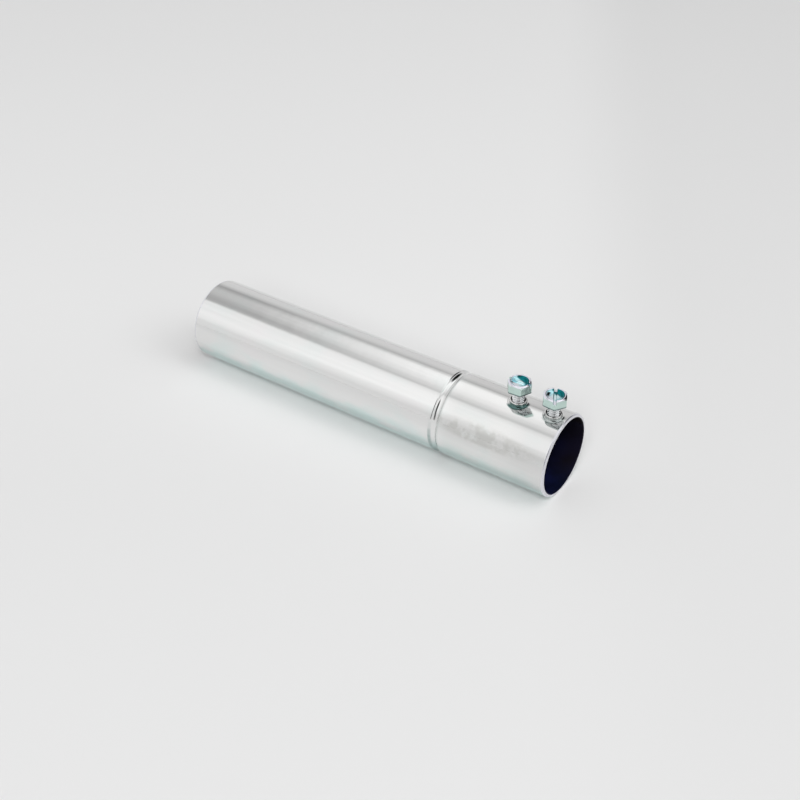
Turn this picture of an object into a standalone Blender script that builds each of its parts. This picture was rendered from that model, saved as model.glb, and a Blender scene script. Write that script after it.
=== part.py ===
"""Set-screw slip coupling for thin-wall steel conduit, lying on its side.

The tube runs along X, its short socket and both set screws at the +X end.
The origin is on the surface it lies on, under the middle of the tube.
"""

import math

import bmesh
import bpy

MM = 0.001

# Conduit that slides in from both ends, trade size 1-1/4
CONDUIT_DIAMETER = 38.35 * MM
CONDUIT_CLEARANCE = 0.55 * MM  # across the bore

# Tube
TUBE_LENGTH = 214.0 * MM
TUBE_WALL = 1.9 * MM
RIM_ROUNDING = 0.35 * MM
TUBE_SIDES = 64

# Stop groove rolled into the tube, and the bead that it raises in the bore
SOCKET_DEPTH = 61.2 * MM  # from the socket's end to the middle of the groove
GROOVE_HALF_WIDTH = 2.5 * MM
GROOVE_DEPTH = 1.5 * MM
GROOVE_LIP_RADIUS = 0.7 * MM
BEAD_SPREAD = 0.9 * MM  # how much wider the bead is than the groove, each side
BEAD_THINNING = 0.1 * MM  # wall lost under the groove
BEAD_LIP_RADIUS = 0.5 * MM
LIP_STEPS = 4
ROOT_STEPS = 8

# Set screws in line along the top of the socket
OUTER_SCREW_FROM_END = 7.5 * MM
SCREW_SPACING = 19.0 * MM
INNER_SCREW_TURN = math.radians(4.0)
OUTER_SCREW_TURN = math.radians(-64.0)
TIP_RECESS = 0.05 * MM  # screw backed out, tip just above the bore

# Screw thread, 1/4 inch with 20 turns to the inch
THREAD_DIAMETER = 6.35 * MM
THREAD_PITCH = 1.27 * MM
THREAD_CREST = 0.16 * MM
THREAD_ROOT = 0.32 * MM
THREAD_HALF_ANGLE = math.radians(30.0)
THREAD_CLEARANCE = 0.08 * MM  # all round, between the screw and its hole
THREAD_SIDES = 24
SHANK_LENGTH = 9.2 * MM
NECK_LENGTH = 0.6 * MM  # plain length between the head and the thread
TIP_CHAMFER = 0.7 * MM

# Screw head, an upset hexagon with a dished and slotted top
HEAD_FLATS = 11.1 * MM
HEAD_HEIGHT = 5.1 * MM
HEAD_RIM_RADIUS = 4.95 * MM
HEAD_TOP_DROP = 1.0 * MM  # how far the top's rounding comes down the corners
HEAD_FOOT_CHAMFER = 0.3 * MM
DISH_RADIUS = 4.4 * MM
DISH_FLOOR_RADIUS = 2.2 * MM
DISH_DEPTH = 1.25 * MM
SLOT_WIDTH = 1.5 * MM
SLOT_DEPTH = 1.9 * MM
HEAD_SIDES = 48

# Collars drawn outwards from the wall to carry the screw threads
COLLAR_HEIGHT = 1.8 * MM
COLLAR_WALL = 1.05 * MM
COLLAR_FILLET = 1.1 * MM
COLLAR_RIM_ROUNDING = 0.35 * MM
HOLE_CHAMFER = 0.45 * MM
COLLAR_SIDES = 32

# Sizes that follow from those above
BORE_RADIUS = (CONDUIT_DIAMETER + CONDUIT_CLEARANCE) / 2
TUBE_RADIUS = BORE_RADIUS + TUBE_WALL
SOCKET_END = TUBE_LENGTH / 2
GROOVE_X = SOCKET_END - SOCKET_DEPTH
OUTER_SCREW_X = SOCKET_END - OUTER_SCREW_FROM_END
INNER_SCREW_X = OUTER_SCREW_X - SCREW_SPACING
AXIS_HEIGHT = TUBE_RADIUS
TOP_HEIGHT = AXIS_HEIGHT + TUBE_RADIUS
BORE_TOP_HEIGHT = AXIS_HEIGHT + BORE_RADIUS
COLLAR_RIM_HEIGHT = TOP_HEIGHT + COLLAR_HEIGHT
HOLE_RADIUS = THREAD_DIAMETER / 2 + THREAD_CLEARANCE
COLLAR_RADIUS = HOLE_RADIUS + COLLAR_WALL
HEAD_SEAT_HEIGHT = BORE_TOP_HEIGHT + TIP_RECESS + SHANK_LENGTH
HEAD_CORNER_RADIUS = HEAD_FLATS / 2 / math.cos(math.pi / 6)
THREAD_FLANK = (THREAD_PITCH - THREAD_CREST - THREAD_ROOT) / 2
THREAD_DEPTH = THREAD_FLANK / math.tan(THREAD_HALF_ANGLE)
CORE_RADIUS = THREAD_DIAMETER / 2 - THREAD_DEPTH


def clear_scene():
    for old in list(bpy.data.objects):
        bpy.data.objects.remove(old, do_unlink=True)


def make_metal(name, colour, roughness):
    material = bpy.data.materials.new(name)
    material.use_nodes = True
    shader = material.node_tree.nodes["Principled BSDF"]
    shader.inputs["Base Color"].default_value = (*colour, 1.0)
    shader.inputs["Metallic"].default_value = 1.0
    shader.inputs["Roughness"].default_value = roughness
    return material


def make_object(name, bm, material=None, smooth_angle=35.0):
    """Turn a bmesh into a linked object with smooth round faces."""
    bmesh.ops.recalc_face_normals(bm, faces=bm.faces)
    mesh = bpy.data.meshes.new(name)
    bm.to_mesh(mesh)
    bm.free()
    mesh.shade_smooth()
    mesh.set_sharp_from_angle(angle=math.radians(smooth_angle))
    if material:
        mesh.materials.append(material)
    item = bpy.data.objects.new(name, mesh)
    bpy.context.collection.objects.link(item)
    return item


def make_tool(name, bm):
    """A solid that only shapes another one."""
    tool = make_object(name, bm)
    tool.display_type = "WIRE"
    tool.hide_render = True
    return tool


def combine(target, operation, tool):
    step = target.modifiers.new(tool.name, "BOOLEAN")
    step.operation = operation
    step.solver = "EXACT"
    step.object = tool


def bridge(bm, ring_a, ring_b):
    count = len(ring_a)
    for i in range(count):
        j = (i + 1) % count
        bm.faces.new((ring_a[i], ring_a[j], ring_b[j], ring_b[i]))


def turn_about_z(profile, sides):
    """A solid turned from (radius, height) points, its ends closed flat."""
    bm = bmesh.new()
    rings = []
    for radius, height in profile:
        ring = []
        for i in range(sides):
            angle = 2 * math.pi * (i + 0.5) / sides
            ring.append(bm.verts.new((radius * math.cos(angle), radius * math.sin(angle), height)))
        rings.append(ring)
    for lower, upper in zip(rings, rings[1:]):
        bridge(bm, lower, upper)
    bm.faces.new(rings[0])
    bm.faces.new(rings[-1])
    return bm


def arc(centre, radius, start, end, steps):
    """Points on an arc, angles in degrees measured from the first axis."""
    points = []
    for i in range(steps + 1):
        angle = math.radians(start + (end - start) * i / steps)
        points.append((centre[0] + radius * math.cos(angle), centre[1] + radius * math.sin(angle)))
    return points


def rolled_section(surface_radius, half_width, depth, lip_radius):
    """Points (x, radius) across a dip rolled into a round wall.

    Two lip arcs and one root arc meet without a corner.
    """
    centre_span = (half_width**2 + depth**2) / (2 * depth)
    root_radius = centre_span - lip_radius
    slope = math.degrees(math.asin(half_width / centre_span))
    lip_y = surface_radius - lip_radius
    root_y = surface_radius - depth + root_radius
    left = arc((GROOVE_X - half_width, lip_y), lip_radius, 90, 90 - slope, LIP_STEPS)
    root = arc((GROOVE_X, root_y), root_radius, 270 - slope, 270 + slope, ROOT_STEPS)
    right = arc((GROOVE_X + half_width, lip_y), lip_radius, 90 + slope, 90, LIP_STEPS)
    return left[:-1] + root + right[1:]


def tube_section():
    """The wall's closed outline, (x, radius): outside, socket rim, bore, slip rim."""
    end = SOCKET_END
    edge = RIM_ROUNDING
    outside = arc((-end + edge, TUBE_RADIUS - edge), edge, 180, 90, 3)
    outside += rolled_section(TUBE_RADIUS, GROOVE_HALF_WIDTH, GROOVE_DEPTH, GROOVE_LIP_RADIUS)
    outside += arc((end - edge, TUBE_RADIUS - edge), edge, 90, 0, 3)
    bead_half_width = GROOVE_HALF_WIDTH + BEAD_SPREAD
    bead_depth = GROOVE_DEPTH - BEAD_THINNING
    bead = rolled_section(BORE_RADIUS, bead_half_width, bead_depth, BEAD_LIP_RADIUS)
    inside = arc((end - edge, BORE_RADIUS + edge), edge, 0, -90, 3)
    inside += bead[::-1]
    inside += arc((-end + edge, BORE_RADIUS + edge), edge, -90, -180, 3)
    return outside + inside


def tube_mesh():
    """The wall's outline turned about the tube's axis, its flats on the true radius."""
    bm = bmesh.new()
    flat_factor = 1 / math.cos(math.pi / TUBE_SIDES)
    section = tube_section()
    rings = []
    for i in range(TUBE_SIDES):
        angle = 2 * math.pi * (i + 0.5) / TUBE_SIDES
        ring = []
        for x, radius in section:
            y = radius * flat_factor * math.sin(angle)
            z = AXIS_HEIGHT + radius * flat_factor * math.cos(angle)
            ring.append(bm.verts.new((x, y, z)))
        rings.append(ring)
    for i in range(TUBE_SIDES):
        bridge(bm, rings[i], rings[(i + 1) % TUBE_SIDES])
    return bm


def collar_section():
    """Points (radius, height over the tube) up the collar's side, foot to rim."""
    fillet_centre = (COLLAR_RADIUS + COLLAR_FILLET, COLLAR_FILLET)
    fillet = arc(fillet_centre, COLLAR_FILLET, 240, 180, 4)
    skirt = (fillet[0][0] + COLLAR_FILLET / 2, fillet[0][1] - COLLAR_FILLET / 3)
    edge = COLLAR_RIM_ROUNDING
    rim = arc((COLLAR_RADIUS - edge, COLLAR_HEIGHT - edge), edge, 0, 90, 3)
    return [skirt] + fillet + rim


def collar_surface_height(y, height):
    """Height over the tube's axis: the foot follows the round tube, the rim is level."""
    share = min(max(height / COLLAR_HEIGHT, 0.0), 1.0)
    level_share = share * share * (3 - 2 * share)
    surface = math.sqrt(TUBE_RADIUS**2 - y**2)
    return surface + (TUBE_RADIUS - surface) * level_share + height


def collar_ring(bm, radius, height=None):
    """One ring of the collar's side, or its flat root inside the wall."""
    ring = []
    for i in range(COLLAR_SIDES):
        angle = 2 * math.pi * (i + 0.5) / COLLAR_SIDES
        x = radius * math.cos(angle)
        y = radius * math.sin(angle)
        if height is None:
            z = (BORE_RADIUS + math.sqrt(TUBE_RADIUS**2 - radius**2)) / 2
        else:
            z = collar_surface_height(y, height)
        ring.append(bm.verts.new((x, y, AXIS_HEIGHT + z)))
    return ring


def collar_mesh():
    """A collar standing out of the wall, closed at its rim until the hole is cut."""
    bm = bmesh.new()
    section = collar_section()
    rings = [collar_ring(bm, section[0][0])]
    for radius, height in section:
        rings.append(collar_ring(bm, radius, height))
    for lower, upper in zip(rings, rings[1:]):
        bridge(bm, lower, upper)
    bm.faces.new(rings[0])
    bm.faces.new(rings[-1])
    return bm


def hole_mesh():
    """The screw hole through wall and collar, opening out at the rim."""
    flat_factor = 1 / math.cos(math.pi / COLLAR_SIDES)
    below = BORE_TOP_HEIGHT - TUBE_WALL
    radius = HOLE_RADIUS * flat_factor
    profile = [
        (radius, below),
        (radius, COLLAR_RIM_HEIGHT - HOLE_CHAMFER),
        (radius + 2 * HOLE_CHAMFER, COLLAR_RIM_HEIGHT + HOLE_CHAMFER),
    ]
    return turn_about_z(profile, COLLAR_SIDES)


def build_tube(material):
    tube = make_object("coupling_tube", tube_mesh(), material)
    places = {"inner": INNER_SCREW_X, "outer": OUTER_SCREW_X}
    for place, x in places.items():
        collar = make_tool(place + "_collar_form", collar_mesh())
        collar.location.x = x
        combine(tube, "UNION", collar)
    for place, x in places.items():
        hole = make_tool(place + "_hole_form", hole_mesh())
        hole.location.x = x
        combine(tube, "DIFFERENCE", hole)
    return tube


def step_angle(step):
    """Clockwise seen from the head, so that a ridge going down is a right-hand thread."""
    return -2 * math.pi * step / THREAD_SIDES


def thread_vertex(bm, step, radius, drop):
    angle = step_angle(step)
    z = -NECK_LENGTH - THREAD_PITCH * step / THREAD_SIDES - drop
    return bm.verts.new((radius * math.cos(angle), radius * math.sin(angle), z))


def flat_ring(bm, first_step, radius, z):
    ring = []
    for i in range(THREAD_SIDES):
        angle = step_angle(first_step + i)
        ring.append(bm.verts.new((radius * math.cos(angle), radius * math.sin(angle), z)))
    return ring


def shank_mesh():
    """The screw's shank: one right-hand ridge wound round a core, fading at both ends.

    Each step round holds the foot of the ridge, its two crest edges and its far foot.
    The next turn's near foot closes the root.
    """
    bm = bmesh.new()
    sides = THREAD_SIDES
    threaded = SHANK_LENGTH - NECK_LENGTH - TIP_CHAMFER
    steps = int(sides * (threaded / THREAD_PITCH - 1))
    fade = sides // 2
    columns = []
    for i in range(steps + sides + 1):
        near_foot = thread_vertex(bm, i, CORE_RADIUS, 0)
        if i > steps:
            columns.append([near_foot])
            continue
        rise = min(i / fade, (steps - i) / fade, 1)
        crest = CORE_RADIUS + THREAD_DEPTH * rise
        upper = thread_vertex(bm, i, crest, THREAD_FLANK)
        lower = thread_vertex(bm, i, crest, THREAD_FLANK + THREAD_CREST)
        far_foot = thread_vertex(bm, i, CORE_RADIUS, 2 * THREAD_FLANK + THREAD_CREST)
        columns.append([near_foot, upper, lower, far_foot])
    chains = [columns[i] + [columns[i + sides][0]] for i in range(steps + 1)]
    for left, right in zip(chains, chains[1:]):
        for j in range(4):
            bm.faces.new((left[j], left[j + 1], right[j + 1], right[j]))

    top = flat_ring(bm, 0, CORE_RADIUS, 0.0)
    for i in range(sides - 1):
        bm.faces.new((top[i], columns[i][0], columns[i + 1][0], top[i + 1]))
    bm.faces.new([top[-1], columns[sides - 1][0]] + chains[0][::-1] + [top[0]])
    buried = flat_ring(bm, 0, CORE_RADIUS, HEAD_HEIGHT - SLOT_DEPTH - THREAD_PITCH / 2)
    bridge(bm, buried, top)
    bm.faces.new(buried)

    bottom = flat_ring(bm, steps, CORE_RADIUS, -SHANK_LENGTH + TIP_CHAMFER)
    tip = flat_ring(bm, steps, CORE_RADIUS - TIP_CHAMFER, -SHANK_LENGTH)
    bm.faces.new(chains[-1] + [bottom[0], bottom[1], columns[steps + 1][0]])
    for i in range(1, sides):
        edge = columns[steps + i][0]
        next_edge = columns[steps + i + 1][0]
        bm.faces.new((edge, bottom[i], bottom[(i + 1) % sides], next_edge))
    bridge(bm, bottom, tip)
    bm.faces.new(tip)
    return bm


def hexagon_mesh():
    """The head's hexagonal bar, a corner towards +X."""
    bm = bmesh.new()
    rings = []
    for z in (0.0, HEAD_HEIGHT + HEAD_TOP_DROP):
        ring = []
        for i in range(6):
            angle = math.pi / 3 * i
            x = HEAD_CORNER_RADIUS * math.cos(angle)
            y = HEAD_CORNER_RADIUS * math.sin(angle)
            ring.append(bm.verts.new((x, y, z)))
        rings.append(ring)
    bridge(bm, rings[0], rings[1])
    bm.faces.new(rings[0])
    bm.faces.new(rings[1])
    return bm


def head_blank_mesh():
    """The turned shape of the head: rounded corners, level rim and dished middle."""
    beyond = HEAD_CORNER_RADIUS + HEAD_FOOT_CHAMFER
    corner_height = HEAD_HEIGHT - HEAD_TOP_DROP
    rim_edge = (HEAD_RIM_RADIUS, HEAD_HEIGHT)
    slope = HEAD_TOP_DROP / (HEAD_CORNER_RADIUS - HEAD_RIM_RADIUS)
    shoulder = (beyond, corner_height - slope * (beyond - HEAD_CORNER_RADIUS))
    profile = [
        (HEAD_CORNER_RADIUS - HEAD_FOOT_CHAMFER, -HEAD_FOOT_CHAMFER),
        (HEAD_CORNER_RADIUS - HEAD_FOOT_CHAMFER, 0.0),
        (beyond, 2 * HEAD_FOOT_CHAMFER),
        shoulder,
        rim_edge,
        (DISH_RADIUS, HEAD_HEIGHT),
    ]
    wall_run = DISH_RADIUS - DISH_FLOOR_RADIUS
    for share in (0.25, 0.5, 0.75, 1.0):
        drop = math.sin(share * math.pi / 2) * DISH_DEPTH
        profile.append((DISH_RADIUS - wall_run * (1 - math.cos(share * math.pi / 2)), HEAD_HEIGHT - drop))
    return turn_about_z(profile, HEAD_SIDES)


def slot_mesh():
    """The driver slot, from corner to corner of the hexagon."""
    bm = bmesh.new()
    bmesh.ops.create_cube(bm, size=1.0)
    length = 2 * HEAD_CORNER_RADIUS + SLOT_WIDTH
    height = 2 * SLOT_DEPTH
    bmesh.ops.scale(bm, verts=bm.verts, vec=(length, SLOT_WIDTH, height))
    bmesh.ops.translate(bm, verts=bm.verts, vec=(0, 0, HEAD_HEIGHT))
    return bm


def build_screw(name, x, turn, material):
    """One set screw, its origin on its own axis under the head."""
    screw = make_object(name, hexagon_mesh(), material, 20.0)
    blank = make_tool(name + "_blank", head_blank_mesh())
    slot = make_tool(name + "_slot", slot_mesh())
    shank = make_tool(name + "_shank", shank_mesh())
    for tool in (blank, slot, shank):
        tool.parent = screw
    combine(screw, "INTERSECT", blank)
    combine(screw, "DIFFERENCE", slot)
    combine(screw, "UNION", shank)
    screw.location = (x, 0.0, HEAD_SEAT_HEIGHT)
    screw.rotation_euler.z = turn
    return screw


def build_coupling():
    clear_scene()
    bright_zinc = make_metal("bright_zinc", (0.79, 0.80, 0.80), 0.24)
    blue_zinc = make_metal("blue_zinc", (0.60, 0.73, 0.74), 0.20)
    build_tube(bright_zinc)
    build_screw("inner_set_screw", INNER_SCREW_X, INNER_SCREW_TURN, blue_zinc)
    build_screw("outer_set_screw", OUTER_SCREW_X, OUTER_SCREW_TURN, blue_zinc)


build_coupling()
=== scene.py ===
# Looks of a zinc-plated conduit coupling with two set screws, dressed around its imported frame
import math

import bmesh
import bpy
from mathutils import Matrix, Vector


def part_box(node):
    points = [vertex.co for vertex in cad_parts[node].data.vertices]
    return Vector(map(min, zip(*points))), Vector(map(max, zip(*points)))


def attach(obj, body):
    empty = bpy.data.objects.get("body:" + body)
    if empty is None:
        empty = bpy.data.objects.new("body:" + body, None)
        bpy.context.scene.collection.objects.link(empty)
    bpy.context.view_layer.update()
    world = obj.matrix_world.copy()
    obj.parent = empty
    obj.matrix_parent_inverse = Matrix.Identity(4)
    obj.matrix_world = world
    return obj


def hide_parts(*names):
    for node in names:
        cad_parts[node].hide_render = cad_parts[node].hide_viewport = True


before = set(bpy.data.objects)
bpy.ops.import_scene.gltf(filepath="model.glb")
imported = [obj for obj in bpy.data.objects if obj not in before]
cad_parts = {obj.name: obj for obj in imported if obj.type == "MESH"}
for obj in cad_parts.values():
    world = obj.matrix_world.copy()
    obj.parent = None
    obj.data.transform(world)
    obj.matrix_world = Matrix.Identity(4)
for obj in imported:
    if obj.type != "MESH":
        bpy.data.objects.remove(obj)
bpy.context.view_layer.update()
print("frame loaded,", len(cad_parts), "parts")

mm = 0.001
tubeLow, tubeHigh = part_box("coupling_tube")
tubeRadius = (tubeHigh.y - tubeLow.y) / 2
tubeEnd = tubeHigh.x
axisHeight = tubeRadius


# Small helpers for node trees
def feed(tree, socket, value):
    if isinstance(value, bpy.types.NodeSocket):
        tree.links.new(value, socket)
    else:
        socket.default_value = value


def addNode(tree, kind, feeds=None, **settings):
    node = tree.nodes.new(kind)
    for name, value in settings.items():
        setattr(node, name, value)
    for socket, value in (feeds or {}).items():
        feed(tree, node.inputs[socket], value)
    return node


def grey(level):
    return (level, level, level, 1.0)


def mixColours(tree, share, first, second, blend="MIX"):
    feeds = {0: share, 6: first, 7: second}
    return addNode(tree, "ShaderNodeMix", feeds, data_type="RGBA", blend_type=blend).outputs[2]


def calculate(tree, operation, *values):
    return addNode(tree, "ShaderNodeMath", dict(enumerate(values)), operation=operation).outputs[0]


def multiply(tree, first, second):
    return calculate(tree, "MULTIPLY", first, second)


def vectorMath(tree, operation, *values):
    # Gives back a number for a dot product or a length, and a vector for the rest
    node = addNode(tree, "ShaderNodeVectorMath", dict(enumerate(values)), operation=operation)
    return node.outputs["Value" if operation in ("DOT_PRODUCT", "LENGTH") else "Vector"]


def fade(tree, value, start, end, low=0.0, high=1.0):
    feeds = {"Value": value, "From Min": start, "From Max": end, "To Min": low, "To Max": high}
    return addNode(tree, "ShaderNodeMapRange", feeds, interpolation_type="SMOOTHSTEP").outputs[0]


def fadeFrom(tree, value, base, span, low=0.0, high=1.0):
    # Its start and end are counted from the base
    return fade(tree, value, base + span[0], base + span[1], low, high)


def heightFade(tree, z, span, low=0.0, high=1.0):
    # Its start and end are in heights of the tube's axis
    return fade(tree, z, span[0] * axisHeight, span[1] * axisHeight, low, high)


def addRamp(tree, factor, stops):
    node = addNode(tree, "ShaderNodeValToRGB", {0: factor})
    ramp = node.color_ramp
    ramp.interpolation = "EASE"
    while len(ramp.elements) < len(stops):
        ramp.elements.new(0.5)
    for element, (position, colour) in zip(ramp.elements, stops):
        element.position = position
        element.color = colour
    return node.outputs[0]


def objectPlace(tree):
    return addNode(tree, "ShaderNodeTexCoord").outputs["Object"]


def addNoise(tree, place, scale, detail=2.0, roughness=0.5):
    feeds = {"Vector": place, "Scale": scale, "Detail": detail, "Roughness": roughness}
    return addNode(tree, "ShaderNodeTexNoise", feeds).outputs[0]


def addBump(tree, height, depth, normal=None):
    feeds = {"Height": height, "Distance": depth, "Strength": 1.0}
    if normal is not None:
        feeds["Normal"] = normal
    return addNode(tree, "ShaderNodeBump", feeds).outputs[0]


def newMaterial(name, metallic=0.0):
    material = bpy.data.materials.new(name)
    material.use_nodes = True
    shader = material.node_tree.nodes["Principled BSDF"]
    shader.inputs["Metallic"].default_value = metallic
    return material, material.node_tree, shader


def newGroup(name, inputs, outputs):
    group = bpy.data.node_groups.new(name, "ShaderNodeTree")
    for title, kind, value in inputs:
        socket = group.interface.new_socket(name=title, in_out="INPUT", socket_type=kind)
        socket.default_value = value
    for title, kind in outputs:
        group.interface.new_socket(name=title, in_out="OUTPUT", socket_type=kind)
    return group, group.nodes.new("NodeGroupInput").outputs, group.nodes.new("NodeGroupOutput").inputs


def useGroup(tree, group, **feeds):
    # coolShare feeds the input called Cool Share
    node = tree.nodes.new("ShaderNodeGroup")
    node.node_tree = group
    for name, value in feeds.items():
        title = "".join(" " + letter if letter.isupper() else letter for letter in name).title()
        feed(tree, node.inputs[title], value)
    return node.outputs


# Camera: from the socket's side, a little above, at the angle of the photo
cameraSettings = {
    "offsetInRadii": (9.492, -20.547, 18.614),  # from the middle of the socket's mouth
    "turnDegrees": 33.85,
    "downDegrees": 37.23,
    "lens": 58.5,
    "sensorWidth": 36.0,
    "shiftX": -0.00625,
    "shiftY": -0.0025,
}


def addCamera():
    look = cameraSettings
    camera = bpy.data.cameras.new("camera")
    camera.lens = look["lens"]
    camera.sensor_width = look["sensorWidth"]
    camera.shift_x = look["shiftX"]
    camera.shift_y = look["shiftY"]
    holder = bpy.data.objects.new("camera", camera)
    bpy.context.collection.objects.link(holder)
    socketMouth = Vector((tubeEnd, 0.0, axisHeight))
    holder.location = socketMouth + Vector(look["offsetInRadii"]) * tubeRadius
    pitch = math.radians(90.0 - look["downDegrees"])
    holder.rotation_euler = (pitch, 0.0, math.radians(look["turnDegrees"]))
    bpy.context.scene.camera = holder


# Studio: soft boxes and the gaps between them, as light levels in a ring round the tube
studioSettings = {
    # degrees from straight up, + towards the screws' right-hand side, and the level there
    "ring": [
        (-180, 0.74), (-100, 0.78), (-66, 0.74), (-58, 0.66), (-53, 0.53), (-49, 0.80),
        (-38, 1.22), (-22, 1.22), (-8, 1.13), (4, 0.95), (14, 0.75), (20, 1.04),
        (32, 1.15), (54, 1.18), (68, 0.95), (78, 0.81), (96, 0.80), (180, 0.74),
    ],
    # the same ring seen from the slip end, where the upper box ends
    "slipEndRing": [
        (-180, 0.74), (-100, 0.78), (-66, 0.75), (-56, 0.62), (-49, 0.42), (-42, 0.49),
        (-30, 0.62), (-18, 0.62), (-6, 0.52), (4, 0.45), (12, 0.48), (18, 1.00),
        (30, 1.01), (56, 1.08), (68, 1.00), (78, 0.84), (96, 0.80), (180, 0.74),
    ],
    "slipEndFrom": -0.38,  # where the second ring begins and is full, along the tube
    "slipEndFull": -0.56,
    "slipEndCurve": 1.5,
    "pastSlipEnd": (-0.62, -0.80, 0.90),  # the far wall there: where it begins, is full, level
    "darkPlaces": [  # unlit corners of the room: towards, cosine where each begins and is full, level
        ((0.25, 0.79, 0.55), 0.88, 0.955, 0.01),
        ((0.45, -0.72, 0.53), 0.90, 0.965, 0.08),
        ((0.28, -0.95, 0.10), 0.91, 0.965, 0.12),
        ((0.98, 0.15, -0.05), 0.88, 0.97, 0.50),
    ],
    "backdrop": 0.80,  # what the camera sees past the floor
    "diffuseLevel": 0.32,  # what the same studio gives to matt surfaces
    "lampDistance": 5.0,
    "lamps": [  # name, towards, disk size, watts
        ("front lamp", (0.36, -0.64, 0.68), 2.8, 167.0),
        ("top lamp", (0.25, -0.05, 0.97), 3.6, 58.0),
        ("right lamp", (0.72, 0.10, 0.68), 2.7, 38.0),
    ],
}


def ringLight(tree, turn, levels):
    stops = [((degrees + 180.0) / 360.0, grey(level)) for degrees, level in levels]
    return addRamp(tree, turn, stops)


def addStudio():
    look = studioSettings
    world = bpy.data.worlds.new("studio")
    world.use_nodes = True
    bpy.context.scene.world = world
    tree = world.node_tree
    direction = addNode(tree, "ShaderNodeTexCoord").outputs["Generated"]
    x, y, z = addNode(tree, "ShaderNodeSeparateXYZ", {0: direction}).outputs
    angle = calculate(tree, "ARCTAN2", multiply(tree, y, -1.0), z)
    turn = calculate(tree, "MULTIPLY_ADD", angle, 0.5 / math.pi, 0.5)
    ring = ringLight(tree, turn, look["ring"])
    slipRing = ringLight(tree, turn, look["slipEndRing"])
    slipShare = calculate(tree, "SUBTRACT", look["slipEndFrom"], x)
    slipShare = calculate(tree, "DIVIDE", slipShare, look["slipEndFrom"] - look["slipEndFull"])
    slipShare = addNode(tree, "ShaderNodeClamp", {0: slipShare}).outputs[0]
    slipShare = calculate(tree, "POWER", slipShare, look["slipEndCurve"])
    light = mixColours(tree, slipShare, ring, slipRing)
    start, full, level = look["pastSlipEnd"]
    light = mixColours(tree, fade(tree, x, start, full), light, grey(level))
    for towards, start, full, level in look["darkPlaces"]:
        near = vectorMath(tree, "DOT_PRODUCT", direction, Vector(towards).normalized())
        light = mixColours(tree, fade(tree, near, start, full), light, grey(level))
    path = addNode(tree, "ShaderNodeLightPath").outputs
    shown = mixColours(tree, path["Is Camera Ray"], light, grey(look["backdrop"]))
    background = tree.nodes["Background"]
    tree.links.new(shown, background.inputs["Color"])
    mirrored = calculate(tree, "MAXIMUM", path["Is Glossy Ray"], path["Is Transmission Ray"])
    seen = calculate(tree, "MAXIMUM", mirrored, path["Is Camera Ray"])
    strength = addNode(tree, "ShaderNodeMapRange", {0: seen, 3: look["diffuseLevel"], 4: 1.0})
    tree.links.new(strength.outputs[0], background.inputs["Strength"])

    for name, towards, size, watts in look["lamps"]:
        lamp = bpy.data.lights.new(name, "AREA")
        lamp.shape = "DISK"
        lamp.size = size
        lamp.energy = watts
        holder = bpy.data.objects.new(name, lamp)
        holder.location = Vector(towards).normalized() * look["lampDistance"]
        holder.rotation_euler = (-holder.location).to_track_quat("-Z", "Y").to_euler()
        holder.visible_glossy = False  # the metal mirrors the studio, not the lamps
        bpy.context.collection.objects.link(holder)


# Floor: a pale sweep, with painted light behind the coupling and painted shade past its socket end
floorSettings = {
    "size": 8.0,
    "below": 0.02 * mm,  # how far it lies under the tube
    "tone": 0.785,  # of the paper in front of the coupling
    "floorLightAndShade": [  # painted light and shade: towards, where each begins and is full, tone
        ((-0.47, 0.88, 0.0), -0.10, 0.12, 0.83),  # painted light behind the coupling
        ((0.88, 0.47, 0.0), 0.08, 0.17, 0.765),  # painted shade past its socket end
    ],
    "mottle": 0.01,
    "mottleScale": 6.0,
    "roughness": 0.9,
    "specular": 0.1,
}


def addFloor():
    look = floorSettings
    mesh = bpy.data.meshes.new("floor")
    bm = bmesh.new()
    bmesh.ops.create_grid(bm, x_segments=2, y_segments=2, size=look["size"] / 2)
    bm.to_mesh(mesh)
    bm.free()
    floor = bpy.data.objects.new("floor", mesh)
    floor.location.z = -look["below"]
    bpy.context.collection.objects.link(floor)
    material, tree, shader = newMaterial("paleFloor")
    shader.inputs["Roughness"].default_value = look["roughness"]
    shader.inputs["Specular IOR Level"].default_value = look["specular"]
    place = objectPlace(tree)
    shade = grey(look["tone"])
    for towards, start, full, tone in look["floorLightAndShade"]:
        along = vectorMath(tree, "DOT_PRODUCT", place, towards)
        shade = mixColours(tree, fade(tree, along, start, full), shade, grey(tone))
    mottle = multiply(tree, addNoise(tree, place, look["mottleScale"]), look["mottle"])
    shade = mixColours(tree, mottle, shade, grey(0.0))
    tree.links.new(shade, shader.inputs["Base Color"])
    mesh.materials.append(material)


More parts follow.
